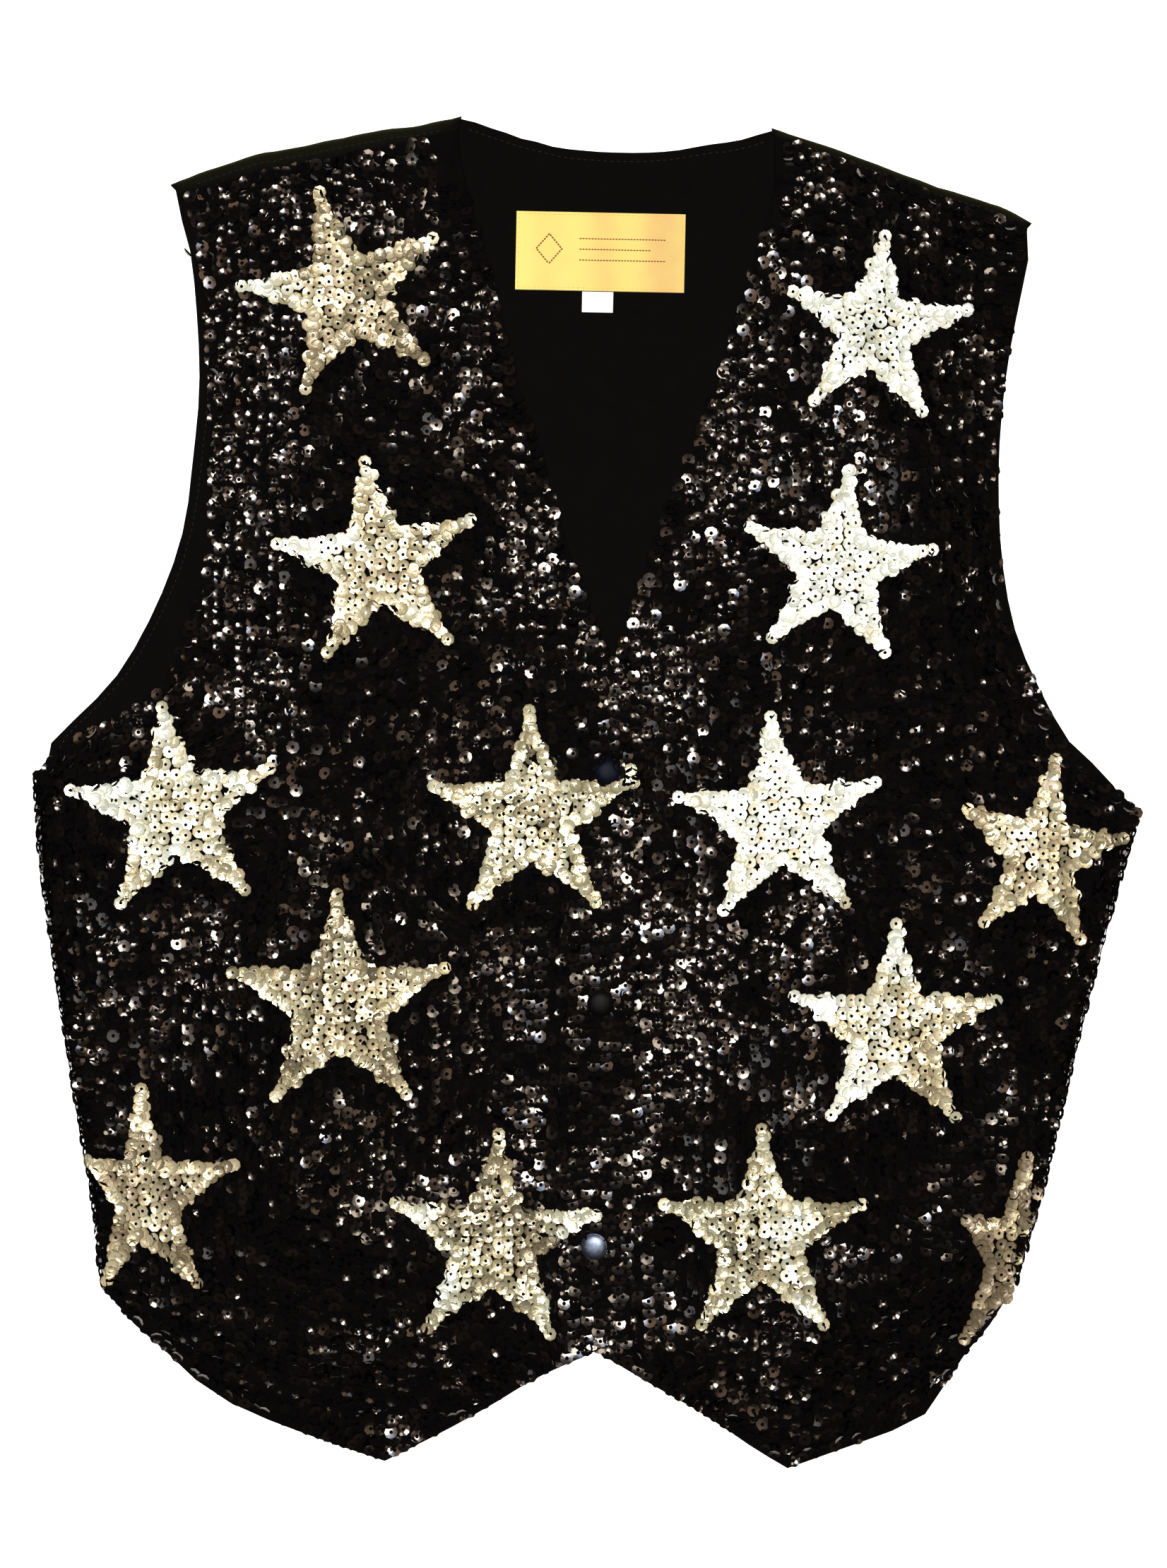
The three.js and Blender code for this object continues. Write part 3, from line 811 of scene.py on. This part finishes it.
def in_star(x, y):
    """Whether a sequin here is silver."""
    depth, number = deepest_star(x, y)
    if depth < -STAR_MARGIN:
        return False
    if number == SEAM_STAR:
        return x < SIDE_SEAM["x"] - SIDE_SEAM["lean"] * max(0, SIDE_SEAM["y"] - y)
    return True


def calmness(x, y):
    """0 where the sequins catch the light freely, up to 1 where they lie calm."""
    total = CALM_LEVEL
    for patch in LIVELY_PATCHES:
        across = bell((x - patch["x"]) / patch["wide"])
        total -= patch["amount"] * across * bell((y - patch["y"]) / patch["tall"])
    depth = deepest_star(x, y)[0]
    if depth < -STAR_MARGIN:
        total += CALM_BY_STAR * bell((depth + STAR_MARGIN) / STAR_SHADE)
    total += CALM_PLAY * noise.noise(Vector((x / CALM_WIDTH, y / CALM_WIDTH, CALM_LAYER)))
    return clamped(total)


def blended(first, second, share):
    """A value that goes from the first to the second as the share goes from 0 to 1."""
    return first + (second - first) * share


def sewn(place, normal, lift=SEWN_LIFT, lean=1.0):
    """How one sequin sits: its place, the way it faces and its cup."""
    x = place.x / MM
    y = place.y / MM
    silver = in_star(x, y)
    calm = 0 if silver or chance.random() < STRAY_SHARE else calmness(x, y)
    spot = Vector((x / RIPPLE_WIDTH, y / RIPPLE_WIDTH, RIPPLE_LAYER))
    ripple = noise.noise_vector(spot) * RIPPLE_TILT
    low = clamped((LOW_FROM - y) / LOW_FADE)
    lively = blended(LIVELY_TILT, LOW_LIVELY_TILT, low)
    spread = SILVER_TILT if silver else blended(lively, CALM_TILT, calm)
    shingle = blended(SHINGLE_TILT, CALM_SHINGLE_TILT, calm)
    tilt_x = shingle * lean + ripple.x + chance.gauss(0, spread)
    tilt_y = ripple.y + chance.gauss(0, spread)
    over_cap = max(0, 1 - top_cap_distance(x, y) / CAP_LAP)
    if over_cap > 0:
        tilt_x, tilt_y = away_from_cap(x, y)
        lift += CAP_LAP_LIFT * min(1, over_cap * CAP_LAP_CLIMB)
    facing = (normal + LAP_BRIDGING * UP).normalized() if abs(x) < LAP_REACH else normal
    on_cloth = facing.to_track_quat("Z", "Y").to_matrix().to_4x4()
    tilt = Matrix.Rotation(math.radians(-tilt_x), 4, "X")
    tilt @= Matrix.Rotation(math.radians(tilt_y), 4, "Y")
    spin = Matrix.Rotation(chance.uniform(0, math.tau), 4, "Z")
    height = (lift + chance.uniform(0, LIFT_PLAY)) * MM
    where = Matrix.Translation(place + normal * height)
    shares = [blended(a, b, calm) for a, b in zip(LIVELY_CUPS, CALM_CUPS)]
    if silver:
        shares = SILVER_CUPS
    return {
        "matrix": where @ on_cloth @ tilt @ spin @ Matrix.Scale(MM, 4),
        "cup": chance.choices(range(len(CUP_SLOPES)), shares)[0],
        "x": x,
        "y": y,
        "silver": silver,
        "tone": chance.random(),
        "lustre": chance.random(),
    }


def well_on(tree, x, y):
    """Where a sequin meets the cloth, if there is room for it. The hem asks for more room."""
    room = HEM_ROOM if y < HEM_BELOW else HOLE_ROOM
    around = [(room, 0), (-room, 0), (0, room), (0, -room)]
    if any(hit_from_above(tree, x + dx, y + dy)[0] is None for dx, dy in around):
        return None, None
    return hit_from_above(tree, x, y)


def string_spans(tree, x, low, high):
    """Stretches of an upright string that lie on the cloth."""
    spans = []
    start = None
    y = low
    while y <= high:
        found = hit_from_above(tree, x, y)[0] is not None
        if found and start is None:
            start = y
        if not found and start is not None:
            spans.append((start, y - 1))
            start = None
        y += 1
    if start is not None:
        spans.append((start, high))
    return spans


def along_strings(tree, box, covered):
    """Sequins in upright strings over the whole panel."""
    placed = []
    low, high = box
    count = int((high.x - low.x) / MM / STRING_GAP) + 1
    for index in range(count + 1):
        x = low.x / MM + STRING_START + index * STRING_GAP
        stagger = chance.uniform(0, 1)
        for first, last in string_spans(tree, x, low.y / MM - 1, high.y / MM + 1):
            room = last - first - 2 * EDGE_INSET
            if room < 0:
                continue
            steps = max(1, round(room / STRING_STEP))
            for step in range(steps + 1):
                share = min(1, (step + stagger * (step > 0)) / steps)
                y = first + EDGE_INSET + room * share + chance.uniform(-SEWING_SLIP, SEWING_SLIP)
                spot = Vector((x * WANDER_ACROSS, y * WANDER_ALONG, WANDER_LAYER))
                wander = noise.noise(spot) * STRING_WANDER
                wander += chance.uniform(-SEWING_SLIP, SEWING_SLIP)
                place, normal = well_on(tree, x + wander, y)
                if place is not None and not covered(x + wander, y):
                    placed.append(sewn(place, normal))
    return placed


def near_tree(placed):
    """A tree that finds the sequin nearest to a point."""
    tree = kdtree.KDTree(len(placed))
    for index, row in enumerate(placed):
        tree.insert((row["x"], row["y"], 0), index)
    tree.balance()
    return tree


def fill_gaps(tree, box, covered, placed):
    """Adds a sequin wherever the cloth would show, as along a slanted edge."""
    near = near_tree(placed)
    extra = []
    low, high = box
    y = low.y / MM
    while y < high.y / MM:
        x = low.x / MM
        while x < high.x / MM:
            if near.find((x, y, 0))[2] > GAP_TO_FILL:
                place, normal = well_on(tree, x, y)
                recent = extra[-FILL_LOOK_BACK:]
                clear = all(math.hypot(x - e["x"], y - e["y"]) > GAP_TO_FILL for e in recent)
                if place is not None and clear and not covered(x, y):
                    extra.append(sewn(place, normal, lift=FILL_LIFT))
            x += FILL_STEP
        y += FILL_STEP
    return extra


def sew_over(tree, covered, star, start, end, step, lift):
    """A string of silver sequins between two points given from a star's middle."""
    placed = []
    count = max(1, round((end - start).length / step))
    for index in range(count + 1):
        spot = start.lerp(end, index / count)
        x = star["x"] + spot.x * (star["left"] if spot.x < 0 else star["right"])
        x += spot.y * star["lean"] + chance.uniform(-OUTLINE_SLIP, OUTLINE_SLIP)
        y = star["y"] + spot.y + chance.uniform(-OUTLINE_SLIP, OUTLINE_SLIP)
        place, normal = hit_from_above(tree, x, y)
        if place is not None and not covered(x, y) and in_star(x, y):
            placed.append(sewn(place, normal, lift))
    return placed


def along_arm(star, arm, share):
    """A point on a star's arm, or on a notch where arm is a half, from the star's middle."""
    angle = math.radians(star["turn"]) + arm * math.tau / 5
    return Vector((math.sin(angle), math.cos(angle))) * star["radius"] * share


def star_outlines(tree, covered):
    """Silver sequins along each arm's two edges and out to its tip, over the black ones."""
    placed = []
    for star in STARS:
        for arm in range(5):
            tip = along_arm(star, arm, 1)
            for side in (-0.5, 0.5):
                notch = along_arm(star, arm + side, STAR_NOTCH)
                edge = (tip - notch).normalized()
                inward = Vector((edge.y, -edge.x)) * (1 if side < 0 else -1)
                start = notch + inward * OUTLINE_INSET
                end = tip + inward * OUTLINE_INSET - edge * TIP_LENGTH * OUTLINE_STOP
                placed += sew_over(tree, covered, star, start, end, OUTLINE_STEP, OUTLINE_LIFT)
            inner = tip * (1 - TIP_LENGTH / star["radius"])
            placed += sew_over(tree, covered, star, inner, tip, TIP_STEP, TIP_LIFT)
    return placed


# Sequins round each side: the heights of their rows, the lift and lean that they keep, and
# where the turned-down cloth starts and ends
SIDE_ROWS = (2.7, 1.1)
SIDE_LIFT = 0.1
SIDE_LEAN = 0.5
SIDE_LOW = -229
SIDE_HIGH = {"right": 6, "left": -12}


def round_the_side(tree, side, low_y, high_y):
    """Sequins on the side edge, where the cloth turns down to the table."""
    placed = []
    for height in SIDE_ROWS:
        y = low_y + chance.uniform(0, 2)
        while y < high_y:
            start = Vector((side * RAY_OUT, y * MM, height * MM))
            place, normal = tree.ray_cast(start, Vector((-side, 0, 0)))[:2]
            if place is not None and abs(normal.x) > FACES_OUT:
                placed.append(sewn(place, normal, lift=SIDE_LIFT, lean=SIDE_LEAN))
            y += STRING_STEP * chance.uniform(0.9, 1.1)
    return placed


def sequin_piece(name, rows, material):
    """Joins sewn sequins into one piece with each one's own tone and lustre."""
    work = bmesh.new()
    looks = {"tone": [], "lustre": []}
    for row in rows:
        patterns = SILVER_PATTERNS if row["silver"] else BLACK_PATTERNS
        one = patterns[row["cup"]].copy()
        one.transform(row["matrix"])
        sunk = SEQUIN_FLOOR * MM - min(vert.co.z for vert in one.vertices)
        if sunk > 0:
            one.transform(Matrix.Translation((0, 0, sunk)))
        work.from_mesh(one)
        for label, values in looks.items():
            values += [row[label]] * len(one.vertices)
        bpy.data.meshes.remove(one)
    mesh = mesh_of(work, name)
    for label, values in looks.items():
        mesh.attributes.new(label, "FLOAT", "POINT").data.foreach_set("value", values)
    piece = shown(name, mesh, material)
    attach(piece, "root")
    return piece


# Beside each neck point the cloth is bare above a height, as far out as a slanted edge
BARE_RIGHT = {"above": 280, "x": -64, "slant": -0.5}
BARE_LEFT = {"above": 262, "x": 91, "slant": 0.05}


def bare_edge(corner, y):
    """How far out the bare corner reaches at y."""
    return corner["x"] + (y - corner["above"]) * corner["slant"]


def bare_corner(x, y):
    """Whether a point lies where the cloth has no sequins beside a neck point."""
    on_right = y > BARE_RIGHT["above"] and bare_edge(BARE_RIGHT, y) < x < 0
    on_left = y > BARE_LEFT["above"] and 0 < x < bare_edge(BARE_LEFT, y)
    return on_right or on_left


def shade_silver(row):
    """Each star's tone carries painted brightness for the light on it, with painted highlights on some
    arms and patches brighter or duller at random.
    """
    star = STARS[deepest_star(row["x"], row["y"])[1]]
    shine = star["shine"]
    cloud = noise.noise(Vector((row["x"] / CLOUD_WIDTH, row["y"] / CLOUD_WIDTH, SILVER_LAYER)))
    for patch in PAINTED_HIGHLIGHT_PATCHES:
        across = bell((row["x"] - patch["x"]) / patch["wide"])
        shine += patch["amount"] * across * bell((row["y"] - patch["y"]) / patch["wide"])
    # Painted light: the tone is brighter where a star or patch is painted as catching more light
    tone = TONE["shine"] * shine + TONE["cloud"] * cloud + chance.gauss(0, TONE["play"])
    lustre = LUSTRE["base"] + LUSTRE["shine"] * shine + star["cool"]
    row["tone"] = clamped(tone)
    row["lustre"] = clamped(lustre + chance.gauss(0, LUSTRE["play"]))


# Single sequins that hang off an edge or stray from their star, the least that each lies
# above the cloth, and how they look
LOOSE_LIFT = 0.7
LOOSE_LOOK = {"tone": 0.6, "lustre": 0.8}
LOOSE_SEQUINS = table("x y z tilt toward cup silver", [
    (-187.4, 251.8, 3.6, 80, 39, 3, False),
    (206.4, 53.0, 2.8, 8, 188, 1, False),
    (205.2, 47.2, 2.6, 7, 190, 1, False),
    (20.0, 10.6, 7.0, 3, 200, 1, True),
    (14.3, 12.6, 7.5, 18, 12, 2, False),
    (12.2, 6.4, 7.4, 19, 310, 1, False),
    (5.6, 15.4, 7.3, 20, 125, 1, False),
    (210.2, -187.4, 3.0, 8, 150, 1, True),
])


def loose_rows(tree, side):
    """The loose sequins of one front, laid on the cloth where there is any below."""
    rows = []
    for spot in LOOSE_SEQUINS:
        place = Vector((spot["x"], spot["y"], spot["z"])) * MM
        below = hit_from_above(tree, spot["x"], spot["y"])[0]
        if below is not None:
            place.z = max(place.z, below.z + LOOSE_LIFT * MM)
        heading = math.radians(spot["toward"])
        hinge = Vector((-math.sin(heading), math.cos(heading), 0))
        lean = Matrix.Rotation(math.radians(spot["tilt"]), 4, hinge)
        matrix = Matrix.Translation(place) @ lean @ Matrix.Scale(MM, 4)
        if spot["x"] * side > 0:
            rows.append({**spot, **LOOSE_LOOK, "matrix": matrix})
    return rows


def sew_front(shell, side, covered):
    """All of a front's sequins, in pieces by colour and height."""
    word = "right" if side < 0 else "left"
    tree = surface_of(shell)
    corners = [v.co for v in shell.data.vertices]
    low = Vector([min(c[i] for c in corners) for i in range(3)])
    high = Vector([max(c[i] for c in corners) for i in range(3)])
    rows = along_strings(tree, (low, high), covered)
    rows += fill_gaps(tree, (low, high), covered, rows)
    rows += star_outlines(tree, covered)
    rows += round_the_side(tree, side, SIDE_LOW, SIDE_HIGH[word])
    rows += loose_rows(tree, side)
    silver = [row for row in rows if row["silver"]]
    black = [row for row in rows if not row["silver"]]
    for row in silver:
        shade_silver(row)
    upper = [row for row in black if row["y"] > 0]
    lower = [row for row in black if row["y"] <= 0]
    return [
        sequin_piece(f"silver_sequins_{word}", silver, SILVER_SEQUIN),
        sequin_piece(f"black_sequins_{word}_upper", upper, BLACK_SEQUIN),
        sequin_piece(f"black_sequins_{word}_lower", lower, BLACK_SEQUIN),
    ]


# Small pieces

# The label's middle, size and turn, and how its edge and face are made
LABEL = {"x": 5.9, "y": 252.9, "width": 79, "height": 36.6, "turn": -1.2}
LABEL_EDGE = 1.2
LABEL_UPPER_SIDE = 0.4
LABEL_WAVES = (90, 130)
LABEL_LAYER = 3

# A diamond, and ruled lines that start at one place, from the label's middle
DIAMOND = [(-24, -6), (-18, 1), (-24, 8), (-30, 1), (-24, -6)]
RULED_FROM = -10
RULED_LINES = table("height last", [(6, 30), (1, 24), (-4, 30)])

# A snap cap's profile from the top of its dome to its underside, in shares of its size
CAP_SIDES = 40
CAP_PROFILE = [
    (0, 1), (0.35, 0.97), (0.62, 0.86), (0.82, 0.66), (0.90, 0.5), (0.94, 0.42),
    (0.98, 0.40), (1, 0.28), (0.98, 0.12), (0.93, 0), (0, 0),
]

# Stitches are a little uneven. Rows of topstitching follow the back's upper edge, from and to
# these places across it, and one follows its armhole
STITCH_RISE = 0.05
STITCH_PLAY = 0.04
TOPSTITCH_STEP = 6
TOPSTITCH_ROWS = table("first last inset", [(-56, 84, 4), (-183, -68, 4.5), (97, 196, 3.6)])
ARMHOLE_ROW = {"first": 20, "last": 262, "inset": 4}
SEARCH_TOP = (330, 200)
SEARCH_SIDE = (-270, -100)
SEARCH_STEP = 0.5


def snap_cap(node, material, lean):
    """A domed press-stud cap with a rolled rim."""
    low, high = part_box(node)
    middle = (low + high) / 2
    radius = (high.x - low.x) / 2
    tall = high.z - low.z
    work = bmesh.new()
    verts = [work.verts.new((r * radius, 0, z * tall)) for r, z in CAP_PROFILE]
    edges = [work.edges.new(pair) for pair in zip(verts, verts[1:])]
    spin_round(work, verts + edges, CAP_SIDES, SAME_POINT * MM)
    turned = Matrix.Rotation(math.radians(lean), 4, "Y")
    bmesh.ops.transform(work, verts=work.verts, matrix=turned)
    bmesh.ops.translate(work, verts=work.verts, vec=(middle.x, middle.y, low.z))
    piece = finish_piece(work, f"{node}_domed", material, 60)
    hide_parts(node)


def label_shell(node, name, material, curl):
    """A flat woven piece whose edges and face are a little uneven."""
    work = merged_copy(node)
    refined(work, LABEL_FACES * MM)
    bottom = min(v.co.z for v in work.verts)
    for vert in work.verts:
        if vert.co.z > bottom + LABEL_UPPER_SIDE * MM:
            across, along = LABEL_WAVES
            spot = Vector((vert.co.x * across, vert.co.y * along, LABEL_LAYER))
            vert.co.z += curl * MM * noise.noise(spot)
    bmesh.ops.recalc_face_normals(work, faces=work.faces)
    piece = finish_piece(work, name, material)
    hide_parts(node)
    return piece


def stitch_pattern(length, thickness):
    """One short stitch, rounded at both ends."""
    work = bmesh.new()
    bmesh.ops.create_icosphere(work, subdivisions=1, radius=0.5)
    bmesh.ops.scale(work, verts=work.verts, vec=(length, thickness, thickness))
    return mesh_of(work, "stitch_pattern")


def stitch_row(work, path, tree, length=2.2, gap=0.9, thickness=0.45):
    """Adds stitches along a path of (x, y) points in millimetres."""
    pattern = stitch_pattern(length, thickness)
    ahead = length / 2
    for (ax, ay), (bx, by) in zip(path, path[1:]):
        span = math.hypot(bx - ax, by - ay)
        while ahead < span:
            share = ahead / span
            x = ax + (bx - ax) * share
            y = ay + (by - ay) * share
            place = hit_from_above(tree, x, y)[0]
            if place is not None:
                heading = math.atan2(by - ay, bx - ax) + chance.gauss(0, STITCH_PLAY)
                turn = Matrix.Rotation(heading, 4, "Z")
                one = pattern.copy()
                rise = STITCH_RISE * MM * UP
                one.transform(Matrix.Translation(place + rise) @ turn @ Matrix.Scale(MM, 4))
                work.from_mesh(one)
                bpy.data.meshes.remove(one)
            ahead += length + gap
        ahead -= span
    bpy.data.meshes.remove(pattern)


def highest_at(tree, x):
    """The top edge of a piece at x, in millimetres."""
    y, lowest = SEARCH_TOP
    while y > lowest and hit_from_above(tree, x, y)[0] is None:
        y -= SEARCH_STEP
    return y


def outermost_at(tree, y):
    """The left edge of a piece at y, in millimetres."""
    x, innermost = SEARCH_SIDE
    while x < innermost and hit_from_above(tree, x, y)[0] is None:
        x += SEARCH_STEP
    return x


def back_stitches(tree):
    """Rows of topstitching along the neck, the shoulder folds and the armhole that shows."""
    work = bmesh.new()
    for row in TOPSTITCH_ROWS:
        places = range(row["first"], row["last"], TOPSTITCH_STEP)
        stitch_row(work, [(x, highest_at(tree, x) - row["inset"]) for x in places], tree)
    places = range(ARMHOLE_ROW["first"], ARMHOLE_ROW["last"], TOPSTITCH_STEP)
    stitch_row(work, [(outermost_at(tree, y) + ARMHOLE_ROW["inset"], y) for y in places], tree)
    return finish_piece(work, "back_topstitching", BLACK_THREAD, 80)


def on_label(u, v):
    """A point of the label, from its own middle, in millimetres."""
    turn = math.radians(LABEL["turn"])
    x = LABEL["x"] + u * math.cos(turn) - v * math.sin(turn)
    return x, LABEL["y"] + u * math.sin(turn) + v * math.cos(turn)


def label_border(tree):
    """Small stitches that hold the label down all round."""
    work = bmesh.new()
    u = LABEL["width"] / 2 - LABEL_EDGE
    v = LABEL["height"] / 2 - LABEL_EDGE
    corners = [(-u, -v), (u, -v), (u, v), (-u, v), (-u, -v)]
    stitch_row(work, [on_label(*corner) for corner in corners], tree, 1.5, 0.8, 0.3)
    return finish_piece(work, "label_edge_stitches", GOLD_THREAD, 80)


def label_motif(tree):
    """A plain diamond and three ruled lines, in satin stitch."""
    work = bmesh.new()
    stitch_row(work, [on_label(*corner) for corner in DIAMOND], tree, 1.3, 0.1, 0.9)
    for line in RULED_LINES:
        ends = [on_label(u, line["height"]) for u in (RULED_FROM, line["last"])]
        stitch_row(work, ends, tree, 1.3, 0.1, 0.7)
    return finish_piece(work, "label_motif", BROWN_THREAD, 80)


# Stage

TABLE_RADIUS = 7
TABLE_GAP = 0.3
CAMERA_MIDDLE = (-1.98, 3.96)
CAMERA_DISTANCE = 1.0175
CLOTH_HEIGHT = 4


def table_top():
    """A wide round table top, just below the cloth."""
    work = bmesh.new()
    bmesh.ops.create_circle(work, cap_ends=True, segments=96, radius=TABLE_RADIUS)
    bmesh.ops.translate(work, verts=work.verts, vec=-TABLE_GAP * MM * UP)
    top = shown("table_top", mesh_of(work, "table_top"), table_finish())


def soft_light(name, place, size, power, colour):
    """A round lamp that faces the middle of the table."""
    lamp = bpy.data.lights.new(name, "AREA")
    lamp.shape = "DISK"
    lamp.size = size
    lamp.energy = power
    lamp.color = colour
    holder = bpy.data.objects.new(name, lamp)
    holder.location = place
    holder.rotation_euler = Vector(place).to_track_quat("Z", "Y").to_euler()
    bpy.context.scene.collection.objects.link(holder)


def studio():
    """Soft light from near the camera, weak wide ones round it, and pale air."""
    soft_light("key_light", (-0.12, 0.12, 1.45), 0.60, 27, (1.0, 0.98, 0.95))
    soft_light("window_light", (-0.30, 0.34, 1.40), 0.36, 3.2, (0.36, 0.60, 1.0))
    soft_light("ceiling_light", (0.0, 0.0, 1.60), 1.60, 3.0, (1.0, 0.76, 0.58))
    soft_light("cream_light", (0.55, 0.38, 1.30), 0.40, 4.2, (1.0, 0.94, 0.82))
    soft_light("brown_light", (-0.62, 0.40, 1.25), 0.55, 1.5, (1.0, 0.72, 0.50))
    soft_light("warm_light", (0.40, -0.58, 1.25), 0.55, 1.0, (1.0, 0.76, 0.55))
    soft_light("cool_light", (-0.48, -0.42, 1.25), 0.50, 1.1, (0.78, 0.88, 1.0))
    world = bpy.data.worlds.new("studio_air")
    world.use_nodes = True
    tree = world.node_tree
    seen = tree.nodes.new("ShaderNodeLightPath").outputs["Is Camera Ray"]
    pale = between(tree, seen, 0.035, 0.82)
    tree.links.new(pale, tree.nodes["Background"].inputs["Strength"])
    tree.nodes["Background"].inputs["Color"].default_value = (0.96, 0.97, 0.97, 1)
    bpy.context.scene.world = world
    bpy.context.scene.view_settings.view_transform = "Standard"


def camera():
    """Straight above the waistcoat, with its shoulders up the frame."""
    lens = bpy.data.cameras.new("photo_camera")
    lens.lens = 50
    lens.sensor_width = 36
    x, y = CAMERA_MIDDLE
    holder = bpy.data.objects.new("photo_camera", lens)
    holder.location = (x * MM, y * MM, CAMERA_DISTANCE + CLOTH_HEIGHT * MM)
    bpy.context.scene.collection.objects.link(holder)
    bpy.context.scene.camera = holder


# The waistcoat

back = back_shell()
front_right = front_shell("front_right", "front_right_shell")
front_left = front_shell("front_left", "front_left_shell")
right_tree = surface_of(front_right)


def no_sequin(x, y):
    """Where the right front stays bare."""
    return under_cap(x, y) or bare_corner(x, y)


def under_right_front(x, y):
    """Where the left front stays bare, as also beneath the right one and close beside it."""
    return no_sequin(x, y) or hit_from_above(right_tree, x + LAP_CLEARANCE, y)[0] is not None


right_sequins = sew_front(front_right, -1, no_sequin)
left_sequins = sew_front(front_left, 1, under_right_front)
snap_cap("snap_cap_top", NAVY_LACQUER, 2)
snap_cap("snap_cap_middle", SHADED_CAP_LACQUER, -2)
snap_cap("snap_cap_bottom", GUNMETAL, -7)
label = label_shell("label", "woven_label", GOLD_LABEL, 0.25)
tab = label_shell("size_tab", "folded_size_tab", WHITE_TAPE, 0.15)

topstitching = back_stitches(surface_of(back))
label_tree = surface_of(label)
label_pieces = [label_border(label_tree), label_motif(label_tree)]

table_top()
studio()
camera()
